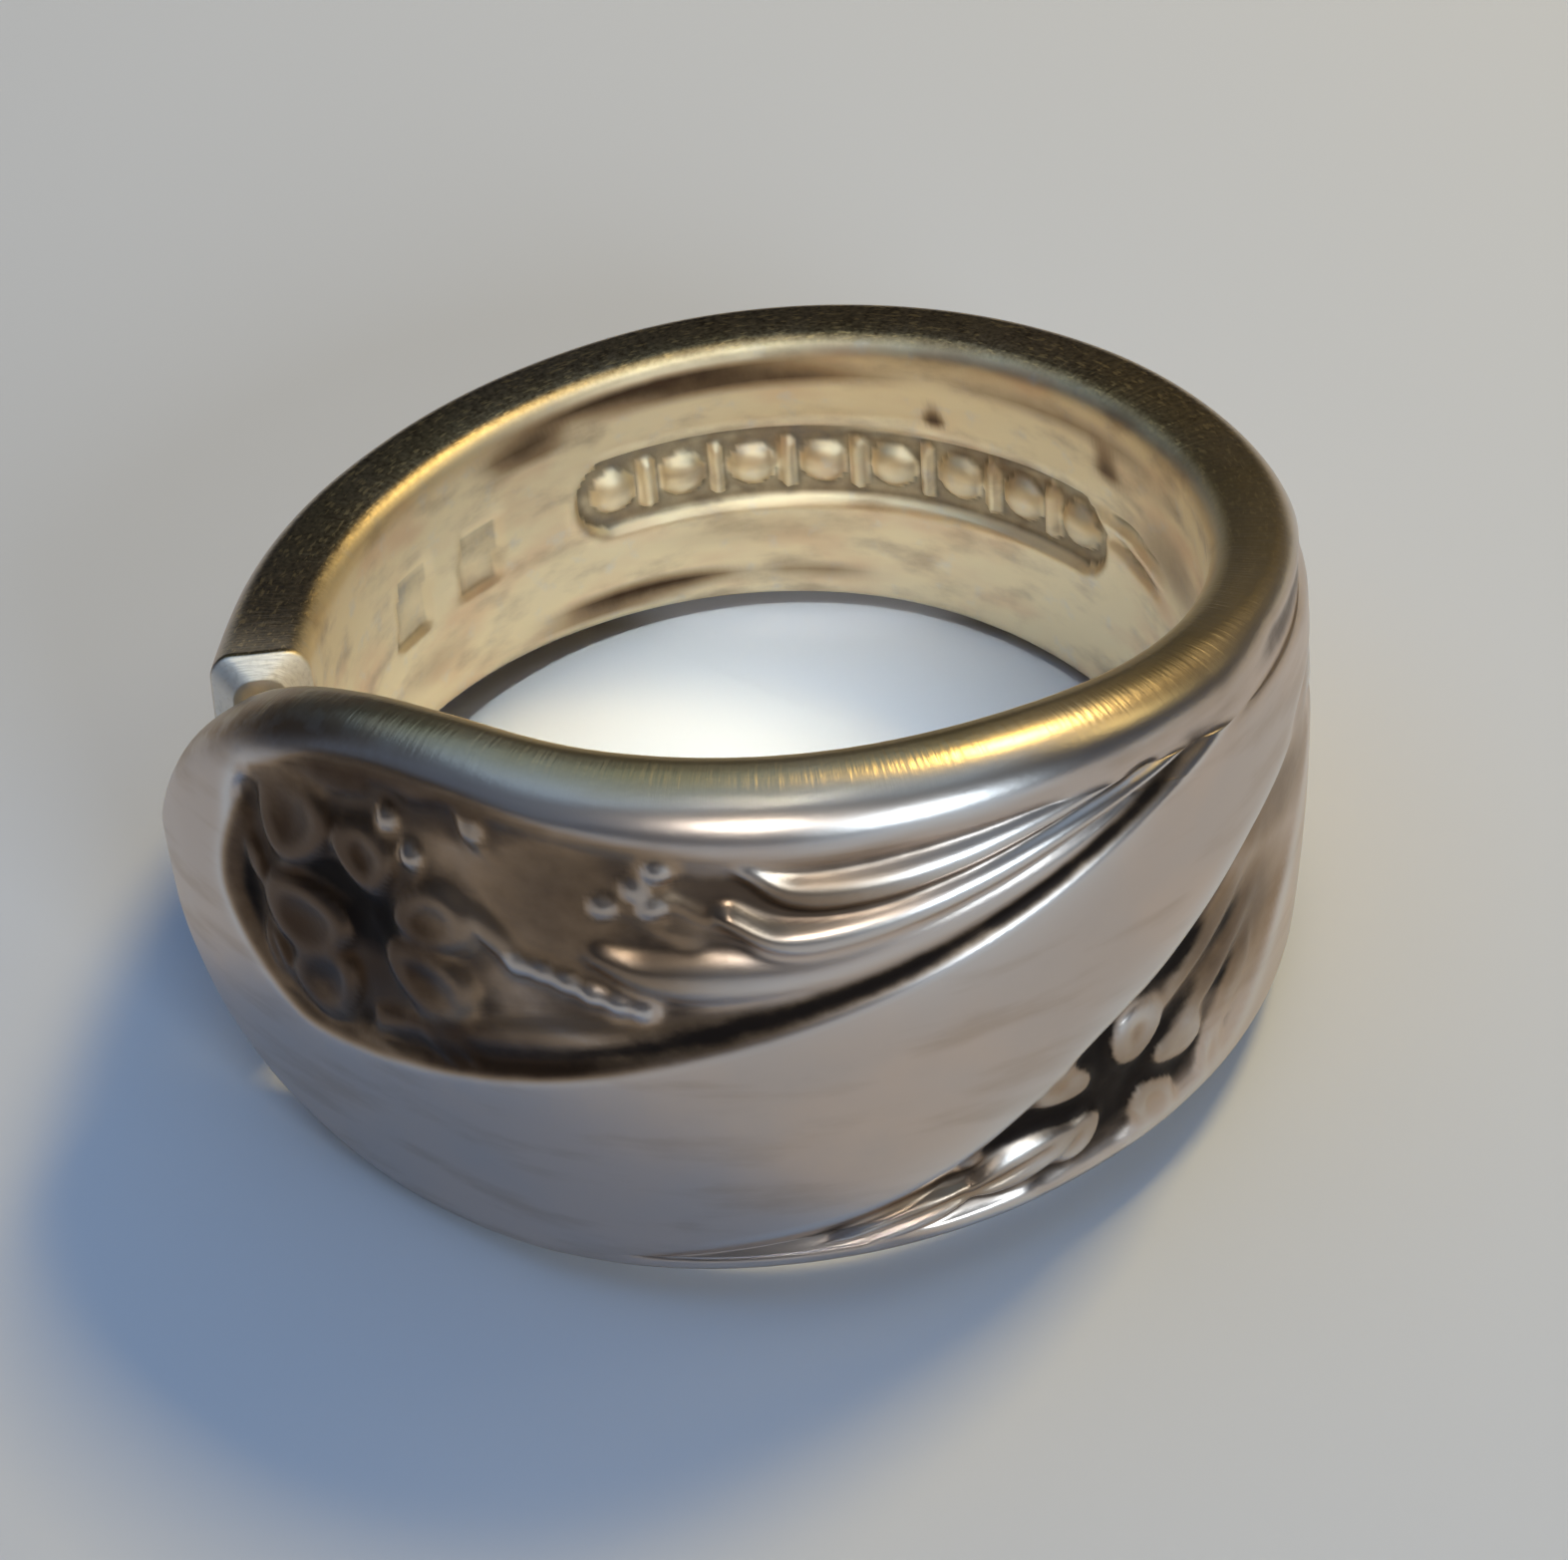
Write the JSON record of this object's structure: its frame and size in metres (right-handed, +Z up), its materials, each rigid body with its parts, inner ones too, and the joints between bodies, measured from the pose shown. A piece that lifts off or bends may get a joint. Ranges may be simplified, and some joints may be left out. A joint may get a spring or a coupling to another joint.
{
  "type": "spoon ring",
  "caption": "Open finger ring wound from an ornamented spoon handle end, with a sunk floral panel outside, a plain diagonal ribbon and a struck bead row inside.",
  "frame": {"origin": "middle of the floor under the ring's box, as the ring lies on its side", "axes": "+Z up from the floor, +X to the right of the ring seen from its ornamented side, -Y towards that side"},
  "size_m": [0.0242, 0.0234, 0.0128],
  "materials": {
    "silver_plate": "worn silver plate: glossy outside, satin and warm inside, brown to black tarnish in the hollows"
  },
  "bodies": {
    "root": {"ring_band": "silver_plate"}
  },
  "joints": []
}
